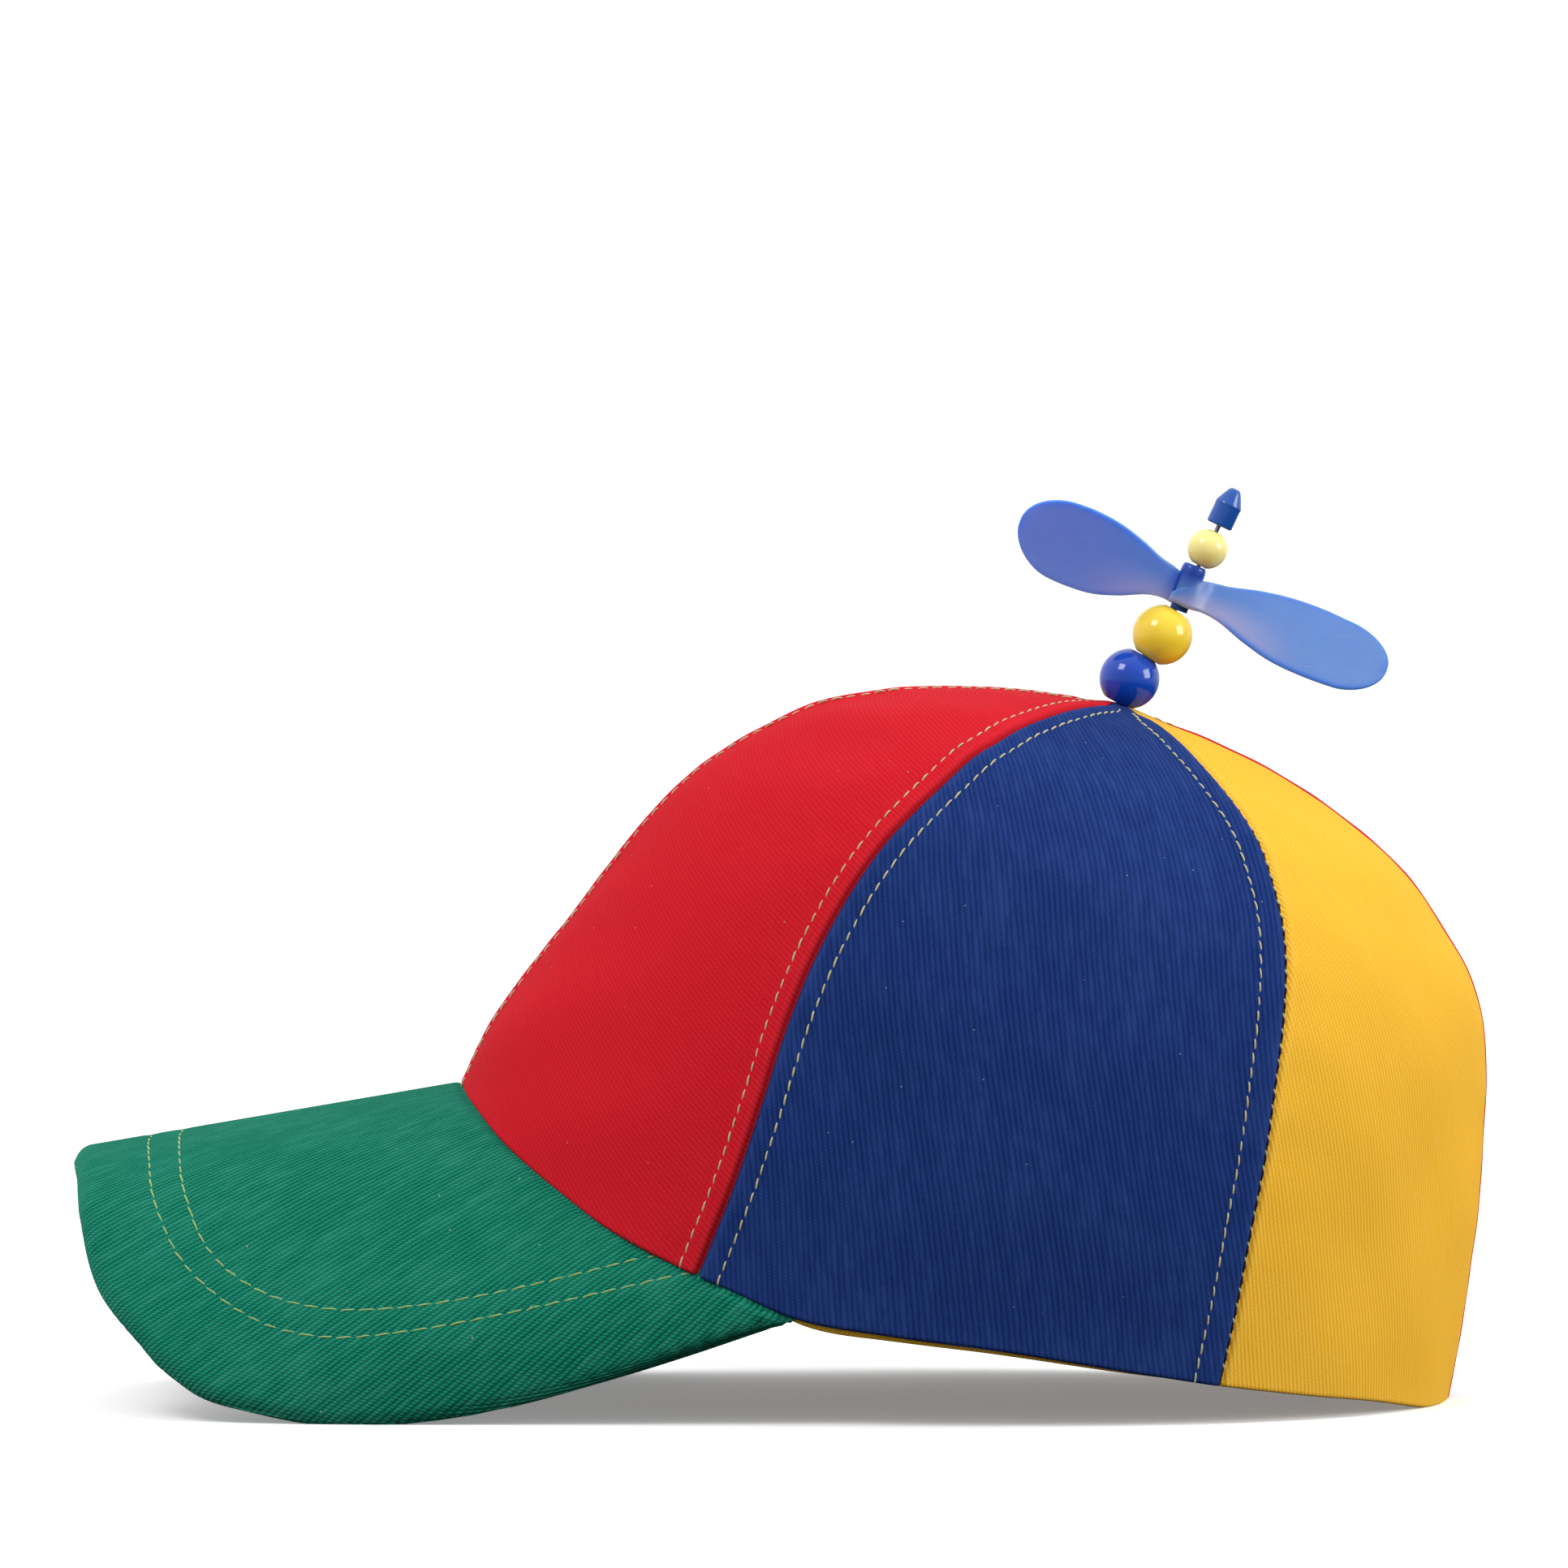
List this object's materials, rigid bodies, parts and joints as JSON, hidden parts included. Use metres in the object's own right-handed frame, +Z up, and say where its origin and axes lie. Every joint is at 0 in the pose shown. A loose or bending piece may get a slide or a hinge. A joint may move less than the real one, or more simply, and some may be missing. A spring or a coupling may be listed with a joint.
{
  "type": "propeller cap",
  "caption": "Soft cotton cap of coloured crown panels with a curved visor, and on its crown a bent wire that carries beads and a free-turning propeller.",
  "frame": {"origin": "on the surface that the cap rests on, below the centre of the cap's bounding box", "axes": "+Z up, -X towards the visor's tip, -Y towards the wearer's left side"},
  "size_m": [0.2796, 0.1628, 0.1817],
  "materials": {
    "red_twill": "cotton twill",
    "blue_twill": "cotton twill",
    "yellow_twill": "cotton twill",
    "green_twill": "coarse cotton twill",
    "blue_bead": "gloss",
    "yellow_bead": "gloss",
    "pale_yellow_bead": "gloss",
    "blue_propeller": "satin, slightly see-through",
    "blue_end_cap": "gloss",
    "steel_wire": "drawn wire",
    "white_plastic": "moulded"
  },
  "bodies": {
    "cap": {"crown_panel_front_left": "red_twill", "crown_panel_side_left": "blue_twill", "crown_panel_rear_left": "yellow_twill", "crown_panel_rear_right": "red_twill", "crown_panel_side_right": "blue_twill", "crown_panel_front_right": "yellow_twill", "visor": "green_twill", "sweatband": "yellow_twill", "wire": "steel_wire", "wire_foot": "white_plastic", "end_cap": "blue_end_cap"},
    "lower_bead": {"lower_bead": "blue_bead"},
    "upper_bead": {"upper_bead": "yellow_bead"},
    "propeller": {"propeller": "blue_propeller"},
    "small_bead": {"small_bead": "pale_yellow_bead"}
  },
  "joints": [
    {"name": "lower_bead_spin", "type": "hinge", "parent": "cap", "child": "lower_bead", "pos_m": [0.06871, 0, 0.14314], "axis": [0.4886, 0, 0.8725], "continuous": true},
    {"name": "upper_bead_spin", "type": "hinge", "parent": "cap", "child": "upper_bead", "pos_m": [0.07526, 0, 0.15187], "axis": [0.55, 0, 0.8352], "continuous": true},
    {"name": "propeller_spin", "type": "hinge", "parent": "cap", "child": "propeller", "pos_m": [0.0801, 0, 0.16112], "axis": [0.3581, 0, 0.9337], "continuous": true},
    {"name": "small_bead_spin", "type": "hinge", "parent": "cap", "child": "small_bead", "pos_m": [0.08418, 0, 0.16891], "axis": [0.4525, 0, 0.8918], "continuous": true}
  ]
}
